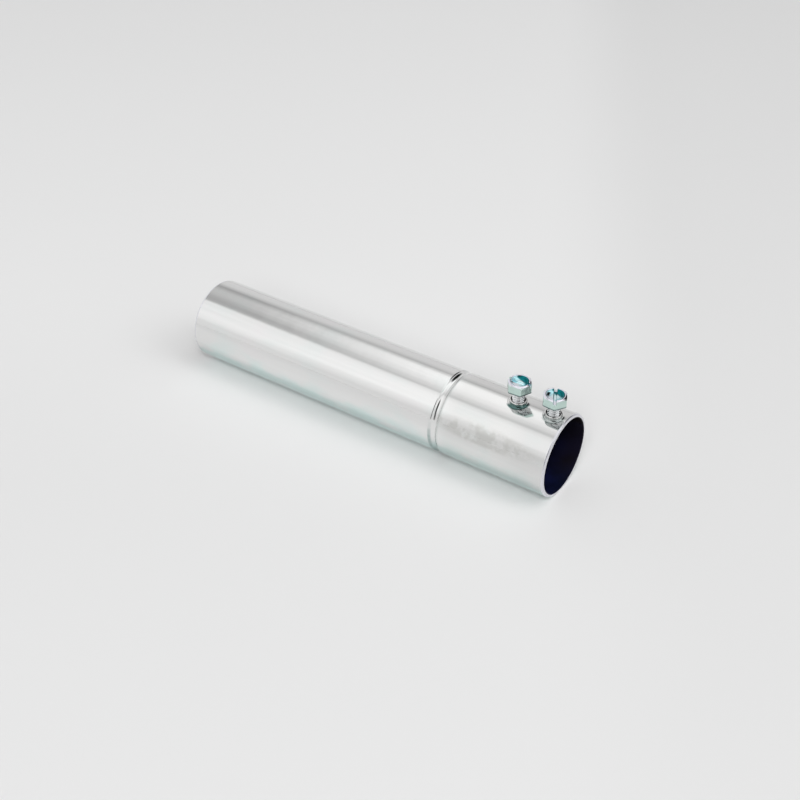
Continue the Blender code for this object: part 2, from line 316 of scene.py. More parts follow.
# Shared effects of the metal finishes
def makeZincBloom():
    # The blue-green and pinkish film of bright zinc plating, in soft clouds drawn out along X
    group, inputs, outputs = newGroup(
        "zincBloom",
        [
            ("Clear", "NodeSocketColor", (0.8, 0.8, 0.8, 1.0)),
            ("Cool", "NodeSocketColor", (0.6, 0.8, 0.8, 1.0)),
            ("Warm", "NodeSocketColor", (0.8, 0.75, 0.8, 1.0)),
            ("Cool Share", "NodeSocketFloat", 0.3),
            ("Warm Share", "NodeSocketFloat", 0.2),
            ("Size", "NodeSocketFloat", 100.0),
            ("Lean", "NodeSocketFloat", 0.0),
        ],
        [("Colour", "NodeSocketColor"), ("Mask", "NodeSocketFloat")],
    )
    feeds = {0: objectPlace(group), "Scale": (0.5, 1.0, 1.0)}
    stretched = addNode(group, "ShaderNodeMapping", feeds).outputs[0]
    feeds = {0: stretched, "Location": (3.1, 1.7, 5.3)}
    shifted = addNode(group, "ShaderNodeMapping", feeds).outputs[0]
    coolNoise = addNoise(group, stretched, inputs["Size"], 3.0)
    warmNoise = addNoise(group, shifted, inputs["Size"])
    coolMask = fade(group, calculate(group, "ADD", coolNoise, inputs["Lean"]), 0.44, 0.72)
    coolMask = multiply(group, coolMask, inputs["Cool Share"])
    warmMask = multiply(group, fade(group, warmNoise, 0.5, 0.75), inputs["Warm Share"])
    colour = mixColours(group, coolMask, inputs["Clear"], inputs["Cool"])
    colour = mixColours(group, warmMask, colour, inputs["Warm"])
    group.links.new(colour, outputs["Colour"])
    group.links.new(coolMask, outputs["Mask"])
    return group


def makeDrawnLines():
    # Faint lines along X that the drawing die leaves in a tube
    group, inputs, outputs = newGroup(
        "drawnLines",
        [("Fineness", "NodeSocketFloat", 900.0), ("Run", "NodeSocketFloat", 0.02)],
        [("Height", "NodeSocketFloat"), ("Shade", "NodeSocketFloat")],
    )
    run = addNode(group, "ShaderNodeCombineXYZ", {0: inputs["Run"], 1: 1.0, 2: 1.0}).outputs[0]
    drawn = vectorMath(group, "MULTIPLY", objectPlace(group), run)
    fine = addNoise(group, drawn, inputs["Fineness"], 4.0, 0.6)
    wide = addNoise(group, drawn, multiply(group, inputs["Fineness"], 0.16))
    height = calculate(group, "MULTIPLY_ADD", fine, 0.35, multiply(group, wide, 0.65))
    group.links.new(height, outputs["Height"])
    group.links.new(fade(group, height, 0.35, 0.65), outputs["Shade"])
    return group


def makeHandlingMarks():
    # Short random scratches and tiny dull spots from the bin and the bench
    group, inputs, outputs = newGroup(
        "handlingMarks",
        [("Size", "NodeSocketFloat", 260.0), ("Amount", "NodeSocketFloat", 0.5)],
        [("Mask", "NodeSocketFloat"), ("Height", "NodeSocketFloat")],
    )
    place = objectPlace(group)
    feeds = {"Vector": place, "Scale": 55.0, "Detail": 2.0}
    warp = addNode(group, "ShaderNodeTexNoise", feeds).outputs["Color"]
    bent = vectorMath(group, "MULTIPLY_ADD", warp, (0.012, 0.012, 0.012), place)
    masks = []
    for turn in (0.5, 1.7):
        feeds = {0: bent, "Rotation": (turn, 0.4, turn * 1.3), "Scale": (0.08, 1.0, 1.0)}
        slanted = addNode(group, "ShaderNodeMapping", feeds).outputs[0]
        lines = addNoise(group, slanted, inputs["Size"], 5.0, 0.75)
        masks.append(fade(group, lines, 0.64, 0.70))
    patchy = fade(group, addNoise(group, place, 40.0, 3.0), 0.45, 0.62)
    scratches = multiply(group, calculate(group, "MAXIMUM", *masks), patchy)
    mask = multiply(group, scratches, inputs["Amount"])
    group.links.new(mask, outputs["Mask"])
    group.links.new(multiply(group, mask, -1.0), outputs["Height"])
    return group


def makeEdgeWear():
    # Where edges stand proud the plating is rubbed thin and bright
    group, inputs, outputs = newGroup(
        "edgeWear",
        [("Start", "NodeSocketFloat", 0.52), ("Full", "NodeSocketFloat", 0.62)],
        [("Mask", "NodeSocketFloat")],
    )
    pointed = addNode(group, "ShaderNodeNewGeometry").outputs["Pointiness"]
    noise = addNoise(group, objectPlace(group), 700.0, 3.0)
    broken = calculate(group, "MULTIPLY_ADD", noise, 0.06, calculate(group, "SUBTRACT", pointed, 0.03))
    group.links.new(fade(group, broken, inputs["Start"], inputs["Full"]), outputs["Mask"])
    return group


zincBloom = makeZincBloom()
drawnLines = makeDrawnLines()
handlingMarks = makeHandlingMarks()
edgeWear = makeEdgeWear()
print("shared effects made")


# An old handling stain on the socket's front: a cloudy, shapeless patch round one point
stainSettings = {
    "colour": (0.63, 0.63, 0.61, 1.0),
    "place": (0.0728, -0.0192, 0.0303),
    "reach": (0.0345, 0.0120, 0.0060),
    "edgeFade": (1.25, 0.85),  # in reaches from its middle
    "cloudScale": 170.0,
    "share": 0.78,
}


def stainMask(tree, place):
    look = stainSettings
    away = vectorMath(tree, "SUBTRACT", place, look["place"])
    reach = vectorMath(tree, "LENGTH", vectorMath(tree, "DIVIDE", away, look["reach"]))
    cloud = addNoise(tree, place, look["cloudScale"], 4.0, 0.6)
    inside = fade(tree, calculate(tree, "MULTIPLY_ADD", cloud, 0.5, reach), *look["edgeFade"])
    blotches = fade(tree, cloud, 0.40, 0.57, 0.15, 1.0)
    return multiply(tree, multiply(tree, inside, blotches), look["share"])


# Painted shade round the lower wall and foot of each collar, from the front to its socket side
collarShadeSettings = {
    "colour": (0.09, 0.17, 0.16, 1.0),
    "share": {"inner_screw": 1.0, "outer_screw": 0.45},
    "towards": (0.50, -0.87, 0.0),
    "sideFade": (0.5 * mm, 2.6 * mm),  # from the screw's axis that way
    "innerFade": (-0.35 * mm, -0.1 * mm),  # from the collar's wall
    "outerFade": (1.9 * mm, 1.1 * mm),
    "upperFade": (1.5 * mm, 0.9 * mm),  # above the tube
    "lowerFade": (1.9, 1.93),
    "cloudScale": 600.0,
}


def collarFootShade(tree, x, y, z, place):
    look = collarShadeSettings
    wall = collarSettings["holeRadius"] + collarSettings["wall"]
    masks = []
    for body, node in screwNodes.items():
        away = calculate(tree, "SUBTRACT", x, screwPlace(node).x)
        flat = addNode(tree, "ShaderNodeCombineXYZ", {0: away, 1: y}).outputs[0]
        reach = vectorMath(tree, "LENGTH", flat)
        ring = multiply(tree, fadeFrom(tree, reach, wall, look["innerFade"]),
                        fadeFrom(tree, reach, wall, look["outerFade"]))
        front = vectorMath(tree, "DOT_PRODUCT", flat, look["towards"])
        front = fade(tree, front, *look["sideFade"], 0.0, look["share"][body])
        masks.append(multiply(tree, ring, front))
    high = multiply(tree, heightFade(tree, z, look["lowerFade"]),
                    fadeFrom(tree, z, 2 * tubeRadius, look["upperFade"]))
    cloud = fade(tree, addNoise(tree, place, look["cloudScale"]), 0.25, 0.45, 0.75, 1.0)
    paintedShading = multiply(tree, calculate(tree, "MAXIMUM", *masks), cloud)
    return multiply(tree, paintedShading, high)


# Painted shade in the groove: a line along each lip, and right across near the bottom
grooveShadeSettings = {
    "colour": (0.36, 0.44, 0.43, 1.0),
    "slipLine": {"inset": 0.2 * mm, "fade": (1.1 * mm, 0.3 * mm), "heights": (1.35, 0.85)},
    "socketLine": {"inset": 0.1 * mm, "fade": (0.75 * mm, 0.15 * mm), "share": 0.2},
    "across": {"fade": (0.3 * mm, -0.5 * mm), "heights": (0.62, 0.36)},
    "cloudScale": 420.0,
}


def grooveShade(tree, x, z, place):
    look = grooveShadeSettings
    half = tubeSettings["grooveHalfWidth"]
    away = calculate(tree, "SUBTRACT", x, grooveX)
    line = look["slipLine"]
    slipLip = calculate(tree, "ABSOLUTE", calculate(tree, "ADD", away, half - line["inset"]))
    slipLine = multiply(tree, fade(tree, slipLip, *line["fade"]),
                        heightFade(tree, z, line["heights"], 0.05, 0.9))
    line = look["socketLine"]
    socketLip = calculate(tree, "ABSOLUTE", calculate(tree, "SUBTRACT", away, half - line["inset"]))
    socketLine = multiply(tree, fade(tree, socketLip, *line["fade"]), line["share"])
    line = look["across"]
    across = multiply(tree, fadeFrom(tree, calculate(tree, "ABSOLUTE", away), half, line["fade"]),
                      heightFade(tree, z, line["heights"], 0.0, 0.95))
    cloud = fade(tree, addNoise(tree, place, look["cloudScale"], 3.0), 0.3, 0.6, 0.6, 1.0)
    lines = multiply(tree, calculate(tree, "MAXIMUM", slipLine, socketLine), cloud)
    return calculate(tree, "MAXIMUM", lines, across)


# Bright zinc of the tube
brightZincSettings = {
    "clear": (0.87, 0.87, 0.865, 1.0),
    "cool": (0.71, 0.87, 0.85, 1.0),
    "warm": (0.90, 0.84, 0.87, 1.0),
    "warmShare": 0.2,
    # share of the tube's height, and how much of the colour is left there
    "heightShade": [
        (0.0, 0.95), (0.155, 0.98), (0.205, 0.87), (0.265, 0.79), (0.33, 0.86), (0.395, 0.92),
        (0.465, 0.965), (0.535, 1.0), (0.605, 0.995), (0.67, 0.96), (0.735, 0.925), (1.0, 0.92),
    ],
    "socket": (0.945, 0.945, 0.94, 1.0),  # what is left of the colour on the socket, darker than the slip end
    "socketFade": (1.0 * mm, 10.0 * mm),  # from the groove
    "mouth": (0.90, 0.90, 0.90, 1.0),  # and by its mouth
    "mouthFade": (80.0 * mm, 96.0 * mm),
    "edge": (0.80, 0.80, 0.85, 1.0),  # the ends, dulled by the cutter
    "edgeFade": (-1.3 * mm, -0.7 * mm),
    "worn": (0.88, 0.87, 0.88, 1.0),
    "scratch": (0.55, 0.55, 0.54, 1.0),
    "roughness": 0.09,
    "moreRoughness": {"lines": 0.05, "marks": 0.12, "bloom": 0.05, "edge": 0.24},
    "lineDepth": 0.004 * mm,
    "scratchDepth": 0.006 * mm,
    "dents": [(70.0, 0.06 * mm), (330.0, 0.012 * mm)],  # noise scale, depth
}


def makeBrightZinc():
    look = brightZincSettings
    material, tree, shader = newMaterial("brightZinc", metallic=1.0)
    place = objectPlace(tree)
    x, y, z = addNode(tree, "ShaderNodeSeparateXYZ", {0: place}).outputs
    bloom = useGroup(tree, zincBloom, clear=look["clear"], cool=look["cool"], warm=look["warm"],
                     lean=heightFade(tree, z, (1.1, 0.1), 0.0, 0.35),
                     coolShare=heightFade(tree, z, (1.3, 0.5), 0.15, 0.9),
                     warmShare=look["warmShare"])
    lines = useGroup(tree, drawnLines)
    marks = useGroup(tree, handlingMarks)
    wear = useGroup(tree, edgeWear)
    shade = addRamp(tree, calculate(tree, "DIVIDE", z, 2 * tubeRadius),
                    [(share, grey(level)) for share, level in look["heightShade"]])
    colour = mixColours(tree, 1.0, bloom["Colour"], shade, "MULTIPLY")
    socketDarkening = mixColours(tree, fade(tree, x, *look["mouthFade"]), look["socket"], look["mouth"])
    socketDarkening = mixColours(tree, 1.0, colour, socketDarkening, "MULTIPLY")
    colour = mixColours(tree, fadeFrom(tree, x, grooveX, look["socketFade"]), colour, socketDarkening)
    atEdge = fadeFrom(tree, calculate(tree, "ABSOLUTE", x), tubeEnd, look["edgeFade"])
    colour = mixColours(tree, atEdge, colour, look["edge"])
    # painted shade round the foot of each collar
    colour = mixColours(tree, collarFootShade(tree, x, y, z, place), colour, collarShadeSettings["colour"])
    colour = mixColours(tree, stainMask(tree, place), colour, stainSettings["colour"])
    # painted shade in the groove
    colour = mixColours(tree, grooveShade(tree, x, z, place), colour, grooveShadeSettings["colour"])
    colour = mixColours(tree, 0.05, colour, lines["Shade"], "MULTIPLY")
    colour = mixColours(tree, multiply(tree, marks["Mask"], 0.3), colour, look["scratch"])
    colour = mixColours(tree, multiply(tree, wear["Mask"], 0.6), colour, look["worn"])
    tree.links.new(colour, shader.inputs["Base Color"])
    masks = {"lines": lines["Shade"], "marks": marks["Mask"], "bloom": bloom["Mask"], "edge": atEdge}
    rough = look["roughness"]
    for name, more in look["moreRoughness"].items():
        rough = calculate(tree, "MULTIPLY_ADD", masks[name], more, rough)
    tree.links.new(rough, shader.inputs["Roughness"])
    normal = addBump(tree, lines["Height"], look["lineDepth"])
    for scale, depth in look["dents"]:
        normal = addBump(tree, addNoise(tree, place, scale), depth, normal)
    normal = addBump(tree, marks["Height"], look["scratchDepth"], normal)
    tree.links.new(normal, shader.inputs["Normal"])
    return material


# Painted shade inside the bore and the screw holes: near-black and dull
boreShadeSettings = {
    "deep": (0.002, 0.003, 0.012, 1.0),
    "lifted": (0.006, 0.008, 0.042, 1.0),
    "brown": (0.005, 0.0035, 0.004, 1.0),  # browner painted shade at the top, and on one side by the mouth
    "brownHeights": (0.7, 1.5),
    "mouthFade": (-22.0 * mm, -4.0 * mm),  # from the socket's end
    "mouthShare": 0.8,
    "sideFade": (0.1, 0.8),  # in bore radii from the middle
    "cloudScale": 60.0,
    "roughness": 0.5,
    "specular": 0.12,
    "lineDepth": 0.01 * mm,
}


def makeBoreShade():
    look = boreShadeSettings
    material, tree, shader = newMaterial("boreShade")
    shader.inputs["Specular IOR Level"].default_value = look["specular"]
    place = objectPlace(tree)
    x, y, z = addNode(tree, "ShaderNodeSeparateXYZ", {0: place}).outputs
    lines = useGroup(tree, drawnLines)
    cloud = fade(tree, addNoise(tree, place, look["cloudScale"], 3.0), 0.35, 0.65)
    shade = mixColours(tree, cloud, look["deep"], look["lifted"])
    onSide = fade(tree, y, *[share * boreRadius for share in look["sideFade"]])
    nearMouth = fadeFrom(tree, x, tubeEnd, look["mouthFade"], 0.0, look["mouthShare"])
    brown = calculate(tree, "MAXIMUM", multiply(tree, nearMouth, onSide),
                      heightFade(tree, z, look["brownHeights"]))
    shade = mixColours(tree, brown, shade, look["brown"])
    tree.links.new(shade, shader.inputs["Base Color"])
    rough = calculate(tree, "MULTIPLY_ADD", lines["Shade"], 0.15, look["roughness"])
    tree.links.new(rough, shader.inputs["Roughness"])
    tree.links.new(addBump(tree, lines["Height"], look["lineDepth"]), shader.inputs["Normal"])
    return material


# Blue zinc of the set screws
blueZincSettings = {
    "teal": (0.008, 0.17, 0.19, 1.0),  # painted shade, on one side of the dish
    "dish": (0.44, 0.76, 0.82, 1.0),
    "dishFloor": (0.78, 0.97, 1.0, 1.0),
    "dishHighlight": (0.90, 0.92, 1.0, 1.0),  # painted highlight, on the other side of the dish
    "rim": (0.86, 0.85, 0.94, 1.0),
    "side": (0.60, 0.76, 0.71, 1.0),
    "shank": (0.82, 0.83, 0.84, 1.0),
    # the next colour is painted light: faces turned down are made lighter, so their reflection in the
    # tube is brighter
    "under": (0.86, 0.92, 0.91, 1.0),
    "headFootShade": (0.15, 0.21, 0.21, 1.0),  # painted shade round the lower edge of the head
    "worn": (0.80, 0.84, 0.86, 1.0),
    "topReach": 8.0 * mm,
    "topRings": [  # share of topReach from the middle, colour there
        (0.16, "dishFloor"), (0.34, "dish"), (0.545, "dish"),
        (0.57, "rim"), (0.66, "rim"), (0.78, "side"),
    ],
    "dishReach": 4.5 * mm,
    "dishShadeTowards": (0.34, 0.94, 0.0),
    "dishShadeFade": (1.8 * mm, 2.6 * mm),  # from the middle that way
    "dishHighlightFade": (-0.6 * mm, -1.8 * mm),
    "cloudScale": 320.0,
    "cloudShift": 1.2 * mm,  # how far the clouds move those two
    "sideFade": (4.6 * mm, 5.2 * mm),  # from the middle
    "footFade": (1.0 * mm, 0.4 * mm),  # over the head's underside
    "roughness": 0.11,
    "lineDepth": 0.004 * mm,
    "scratchDepth": 0.006 * mm,
}


def makeBlueZinc():
    look = blueZincSettings
    material, tree, shader = newMaterial("blueZinc", metallic=1.0)
    place = objectPlace(tree)
    x, y, z = addNode(tree, "ShaderNodeSeparateXYZ", {0: place}).outputs
    flat = addNode(tree, "ShaderNodeCombineXYZ", {0: x, 1: y}).outputs[0]
    reach = vectorMath(tree, "LENGTH", flat)
    colour = addRamp(tree, calculate(tree, "DIVIDE", reach, look["topReach"]),
                     [(share, look[name]) for share, name in look["topRings"]])
    lean = vectorMath(tree, "DOT_PRODUCT", flat, look["dishShadeTowards"])
    cloud = addNoise(tree, place, look["cloudScale"])
    lean = calculate(tree, "MULTIPLY_ADD", cloud, look["cloudShift"], lean)
    inDish = calculate(tree, "LESS_THAN", reach, look["dishReach"])
    # painted highlight on one side of the dish and painted shade on the other
    for paintedShading, span in (("dishHighlight", "dishHighlightFade"), ("teal", "dishShadeFade")):
        mask = multiply(tree, fade(tree, lean, *look[span]), inDish)
        colour = mixColours(tree, mask, colour, look[paintedShading])
    normal = addNode(tree, "ShaderNodeNewGeometry").outputs["Normal"]
    upward = addNode(tree, "ShaderNodeSeparateXYZ", {0: normal}).outputs["Z"]
    outer = fade(tree, reach, *look["sideFade"])
    onSide = multiply(tree, fade(tree, upward, 0.45, 0.15), outer)
    nearFoot = multiply(tree, fade(tree, z, *look["footFade"]), outer)
    colour = mixColours(tree, onSide, colour, look["side"])
    colour = mixColours(tree, nearFoot, colour, look["headFootShade"])
    colour = mixColours(tree, fade(tree, upward, -0.6, -0.9), colour, look["under"])
    colour = mixColours(tree, fade(tree, z, 0.1 * mm, -0.1 * mm), colour, look["shank"])
    lines = useGroup(tree, drawnLines, fineness=1500.0, run=1.0)
    marks = useGroup(tree, handlingMarks, size=900.0, amount=0.4)
    wear = useGroup(tree, edgeWear)
    colour = mixColours(tree, multiply(tree, wear["Mask"], 0.55), colour, look["worn"])
    colour = mixColours(tree, 0.08, colour, lines["Shade"], "MULTIPLY")
    tree.links.new(colour, shader.inputs["Base Color"])
    rough = calculate(tree, "MULTIPLY_ADD", lines["Shade"], 0.06, look["roughness"])
    rough = calculate(tree, "MULTIPLY_ADD", marks["Mask"], 0.12, rough)
    tree.links.new(rough, shader.inputs["Roughness"])
    normal = addBump(tree, lines["Height"], look["lineDepth"])
    normal = addBump(tree, marks["Height"], look["scratchDepth"], normal)
    tree.links.new(normal, shader.inputs["Normal"])
    return material


# Mesh helpers
quarters = (0.25, 0.5, 0.75)
cos30 = math.cos(math.pi / 6)


def arcPoints(centre, radius, startDegrees, endDegrees, steps):
    points = []
    for i in range(steps + 1):
        angle = math.radians(startDegrees + (endDegrees - startDegrees) * i / steps)
        points.append((centre[0] + radius * math.cos(angle), centre[1] + radius * math.sin(angle)))
    return points


def evenly(start, end, steps):
    return [start + (end - start) * i / steps for i in range(steps + 1)]


def bridgeRings(faces, rings):
    for first, second in zip(rings, rings[1:]):
        for i in range(len(first)):
            j = (i + 1) % len(first)
            faces.append((first[i], first[j], second[j], second[i]))


def makePiece(name, points, faces, materials, place, body, node):
    mesh = bpy.data.meshes.new(name)
    mesh.from_pydata(points, [], faces)
    bm = bmesh.new()
    bm.from_mesh(mesh)
    loose = [vert for vert in bm.verts if not vert.link_faces]
    bmesh.ops.delete(bm, geom=loose, context="VERTS")
    bmesh.ops.recalc_face_normals(bm, faces=bm.faces)
    bm.to_mesh(mesh)
    bm.free()
    mesh.shade_smooth()
    for material in materials:
        mesh.materials.append(material)
    piece = bpy.data.objects.new(name, mesh)
    piece.location = place
    bpy.context.collection.objects.link(piece)
    keepFlats = piece.modifiers.new("keepFlats", "WEIGHTED_NORMAL")
    keepFlats.keep_sharp = True
    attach(piece, body)
    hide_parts(node)
    return piece


# The tube, with its rolled stop groove and the two collars drawn out of its wall
tubeSettings = {
    "wall": 1.9 * mm,
    "outerRounding": 1.0 * mm,
    "innerRounding": 0.5 * mm,
    "boreShadeFrom": 0.9,  # share of the inner rounding where the bore's painted shade begins
    "sides": 240,
    "longStep": 5.0 * mm,
    "rimSteps": 10,
    "grooveFromMouth": 61.2 * mm,
    "grooveHalfWidth": 2.5 * mm,
    "grooveDepth": 1.3 * mm,
    "grooveLip": 0.9 * mm,
    "beadSpread": 0.9 * mm,
    "beadThinning": 0.1 * mm,
    "beadLip": 0.5 * mm,
}
collarSettings = {
    "height": 1.8 * mm,
    "holeRadius": 3.255 * mm,
    "wall": 1.05 * mm,
    "foot": 1.1 * mm,
    "rimRounding": 0.35 * mm,
    "chamfer": 0.45 * mm,
    "mouthRounding": 0.3 * mm,
    "patchHalf": 6.4 * mm,  # half the length of the wall's finer patch round a collar
    "patchSteps": 24,
}
boreRadius = tubeRadius - tubeSettings["wall"]
grooveX = tubeEnd - tubeSettings["grooveFromMouth"]
screwNodes = {"inner_screw": "inner_set_screw", "outer_screw": "outer_set_screw"}


def screwPlace(node):
    low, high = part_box(node)
    return (low + high) / 2


def rolledDip(surface, halfWidth, depth, lip):
    # The groove's section: a round root between two rounded lips
    centreSpan = (halfWidth**2 + depth**2) / (2 * depth)
    rootRadius = centreSpan - lip
    slope = math.degrees(math.asin(halfWidth / centreSpan))
    left = arcPoints((grooveX - halfWidth, surface - lip), lip, 90, 90 - slope, 8)
    rootCentre = (grooveX, surface - depth + rootRadius)
    root = arcPoints(rootCentre, rootRadius, 270 - slope, 270 + slope, 18)
    right = arcPoints((grooveX + halfWidth, surface - lip), lip, 90 + slope, 90, 8)
    return left[:-1] + root + right[1:]


def wallSide(surface, inward, halfWidth, depth, lip, collarPlaces):
    # One side of the wall from slip rim to socket rim, and the columns where its patches start
    edge = tubeSettings["innerRounding" if inward > 0 else "outerRounding"]
    rimCentre = surface + inward * edge
    steps = tubeSettings["rimSteps"]
    columns = arcPoints((edge - tubeEnd, rimCentre), edge, 180, 180 + 90 * inward, steps)
    dip = rolledDip(surface, halfWidth, depth, lip)
    starts = []

    def addStretch(target):
        start = columns[-1][0]
        count = max(1, round((target - start) / tubeSettings["longStep"]))
        columns.extend((x, surface) for x in evenly(start, target, count)[1:])

    addStretch(dip[0][0])
    columns.extend(dip[1:])
    for place in collarPlaces:
        half = collarSettings["patchHalf"]
        addStretch(place - half)
        starts.append(len(columns) - 1)
        patch = evenly(place - half, place + half, collarSettings["patchSteps"])
        columns.extend((x, surface) for x in patch[1:])
    addStretch(tubeEnd - edge)
    columns.extend(arcPoints((tubeEnd - edge, rimCentre), edge, -90 * inward, 0, steps)[1:])
    return columns, starts


def surfaceHeight(radius, y):
    return math.sqrt(radius**2 - y**2)


def collarHeight(y, height):
    # The foot follows the round tube, the rim is level
    share = min(max(height / collarSettings["height"], 0.0), 1.0)
    level = share * share * (3 - 2 * share)
    surface = surfaceHeight(tubeRadius, y)
    return surface + (tubeRadius - surface) * level + height


def collarSection():
    # (radius, height over the tube) from the foot up to the edge of the hole
    rimHeight = collarSettings["height"]
    edge = collarSettings["rimRounding"]
    outer = collarSettings["holeRadius"] + collarSettings["wall"]
    foot = collarSettings["foot"]
    section = arcPoints((outer + foot, foot), foot, 270, 180, 9)
    section.append((outer, (foot + rimHeight - edge) / 2))
    section += arcPoints((outer - edge, rimHeight - edge), edge, 0, 90, 5)
    section.append((collarSettings["holeRadius"] + collarSettings["chamfer"], rimHeight))
    return section


def buildTube(materials):
    look = tubeSettings
    sides = look["sides"]
    collarPlaces = sorted(screwPlace(node).x for node in screwNodes.values())
    outside, outsideStarts = wallSide(
        tubeRadius, -1, look["grooveHalfWidth"], look["grooveDepth"], look["grooveLip"], collarPlaces)
    inside, insideStarts = wallSide(
        boreRadius, 1, look["grooveHalfWidth"] + look["beadSpread"],
        look["grooveDepth"] - look["beadThinning"], look["beadLip"], collarPlaces)
    profile = outside + inside[::-1]
    count = len(profile)
    insideColumn = [count - 1 - start for start in insideStarts]
    points = []
    for i in range(sides):
        angle = 2 * math.pi * i / sides
        for x, radius in profile:
            points.append((x, -radius * math.sin(angle), axisHeight + radius * math.cos(angle)))

    steps = collarSettings["patchSteps"]
    half = steps // 2
    cut = set()
    for start in outsideStarts:
        cut.update(range(start, start + steps))
    for start in insideColumn:
        cut.update(range(start - steps, start))
    faces = []
    for i in range(sides):
        nearTop = i < half or i >= sides - half
        for j in range(count):
            if nearTop and j in cut:
                continue
            k = (j + 1) % count
            nextI = (i + 1) % sides
            faces.append((i * count + j, i * count + k, nextI * count + k, nextI * count + j))

    def patchEdge(column):
        # Round the square hole in the grid; column(s) is the column s steps along the patch
        keys = [(half - n, steps) for n in range(steps)]
        keys += [(-half, steps - n) for n in range(steps)]
        keys += [(-half + n, 0) for n in range(steps)]
        keys += [(half, n) for n in range(steps)]
        return [(i % sides) * count + column(s) for i, s in keys]

    angles = [math.radians(-45 + 90 * n / steps) for n in range(4 * steps)]

    def addRing(place, radius, heightAt):
        ring = []
        for angle in angles:
            y = radius * math.sin(angle)
            ring.append(len(points))
            points.append((place + radius * math.cos(angle), y, axisHeight + heightAt(y)))
        return ring

    def addPatchRing(edge, place, radius, surface, share):
        ring = []
        for key, angle in zip(edge, angles):
            edgeX, edgeY = points[key][0], points[key][1]
            x = edgeX + (place + radius * math.cos(angle) - edgeX) * share
            y = edgeY + (radius * math.sin(angle) - edgeY) * share
            ring.append(len(points))
            points.append((x, y, axisHeight + surfaceHeight(surface, y)))
        return ring

    holeRadius = collarSettings["holeRadius"]
    mouth = collarSettings["mouthRounding"]
    rimLevel = tubeRadius + collarSettings["height"]
    section = collarSection()
    for place, outerStart, innerStart in zip(collarPlaces, outsideStarts, insideColumn):
        outerEdge = patchEdge(lambda s: outerStart + s)
        innerEdge = patchEdge(lambda s: innerStart - s)
        rings = [outerEdge]
        for share in quarters:
            rings.append(addPatchRing(outerEdge, place, section[0][0], tubeRadius, share))
        for radius, height in section:
            rings.append(addRing(place, radius, lambda y: collarHeight(y, height)))
        wallTop = rimLevel - collarSettings["chamfer"]
        wallFoot = boreRadius + mouth
        for level in evenly(wallTop, wallFoot, 5)[:-1]:
            rings.append(addRing(place, holeRadius, lambda y: level))
        for angle in evenly(0.0, math.pi / 2, 4):
            radius = holeRadius + mouth * (1 - math.cos(angle))
            lift = mouth * (1 - math.sin(angle))
            rings.append(addRing(place, radius, lambda y: surfaceHeight(boreRadius, y) + lift))
        for share in quarters[::-1]:
            rings.append(addPatchRing(innerEdge, place, holeRadius + mouth, boreRadius, share))
        rings.append(innerEdge)
        bridgeRings(faces, rings)

    # the bore and the screw holes take the painted shade
    tube = makePiece("plated_tube", points, faces, materials, (0.0, 0.0, 0.0),
                     "tube", "coupling_tube")
    darkWithin = boreRadius + look["boreShadeFrom"] * look["innerRounding"]
    darkHole = holeRadius + collarSettings["chamfer"] + 0.01 * mm
    vertices = tube.data.vertices
    for face in tube.data.polygons:
        corners = [vertices[v].co for v in face.vertices]
        inBore = max(math.hypot(corner.y, corner.z - axisHeight) for corner in corners) < darkWithin
        inHole = any(max(math.hypot(corner.x - place, corner.y) for corner in corners) < darkHole
                     for place in collarPlaces)
        face.material_index = 1 if inBore or inHole else 0


# The set screws: slotted, dished hexagon heads on threaded shanks
screwSettings = {
    "flats": 11.1 * mm,
    "headHeight": 5.1 * mm,
    "rimRadius": 4.95 * mm,
    "cornerDrop": 1.2 * mm,
    "shoulderCurve": 1.3,
    "cornerRounding": 0.9 * mm,
    "edgeRounding": 0.22 * mm,
    "dishRadius": 4.4 * mm,
    "dishFloorRadius": 2.2 * mm,
    "dishDepth": 1.25 * mm,
    "dishLip": 0.25 * mm,
    "slotWidth": 1.5 * mm,
    "slotDepth": 1.9 * mm,
    "slotLip": 0.16 * mm,
    "slotFoot": 0.25 * mm,
    "slotDraft": 0.02 * mm,  # how much wider the slot is at its lip than at its foot
    "threadDiameter": 6.35 * mm,
    "threadPitch": 1.27 * mm,
    "threadCrest": 0.16 * mm,
    "threadRoot": 0.32 * mm,
    "shankLength": 9.2 * mm,
    "neckLength": 0.6 * mm,
    "threadEnds": (10, 12),  # the ridge fades over one part in so many, at the neck and at the tip
    "neckFillet": 0.3 * mm,
    "tipChamfer": 0.7 * mm,
    "shankSides": 160,
    "halfHeadColumns": 55,  # from the slot's middle to a flat side
    "rowsPerTurn": 12,
    "slotTurnDegrees": {"inner_screw": 4.0, "outer_screw": -64.0},
}
cornerRadius = screwSettings["flats"] / 2 / cos30


def headTopProfile():
    # (radius, drop from the top) from the middle of the dish out past the corners
    look = screwSettings
    run = look["dishRadius"] - look["dishFloorRadius"]
    profile = [(0.0, look["dishDepth"])]
    lipStart = math.asin(look["dishLip"] / look["dishDepth"])
    for angle in evenly(math.pi / 2, lipStart, 14):
        radius = look["dishFloorRadius"] + run * math.cos(angle)
        profile.append((radius, look["dishDepth"] * math.sin(angle)))
    lip = look["dishLip"]
    for radius, level in arcPoints((look["dishRadius"] + lip, -lip), lip, 170, 90, 5):
        profile.append((radius, -level))
    reach = cornerRadius - look["rimRadius"]
    for share in evenly(0.0, 1.1, 14):
        drop = look["cornerDrop"] * share ** look["shoulderCurve"]
        profile.append((look["rimRadius"] + reach * share, drop))
    return profile


headProfile = headTopProfile()


def turnedDrop(radius):
    # How far the head's turned top lies under its highest level at that radius
    for (innerRadius, innerDrop), (outerRadius, outerDrop) in zip(headProfile, headProfile[1:]):
        if radius <= outerRadius:
            share = (radius - innerRadius) / (outerRadius - innerRadius)
            return innerDrop + (outerDrop - innerDrop) * share
    return headProfile[-1][1]


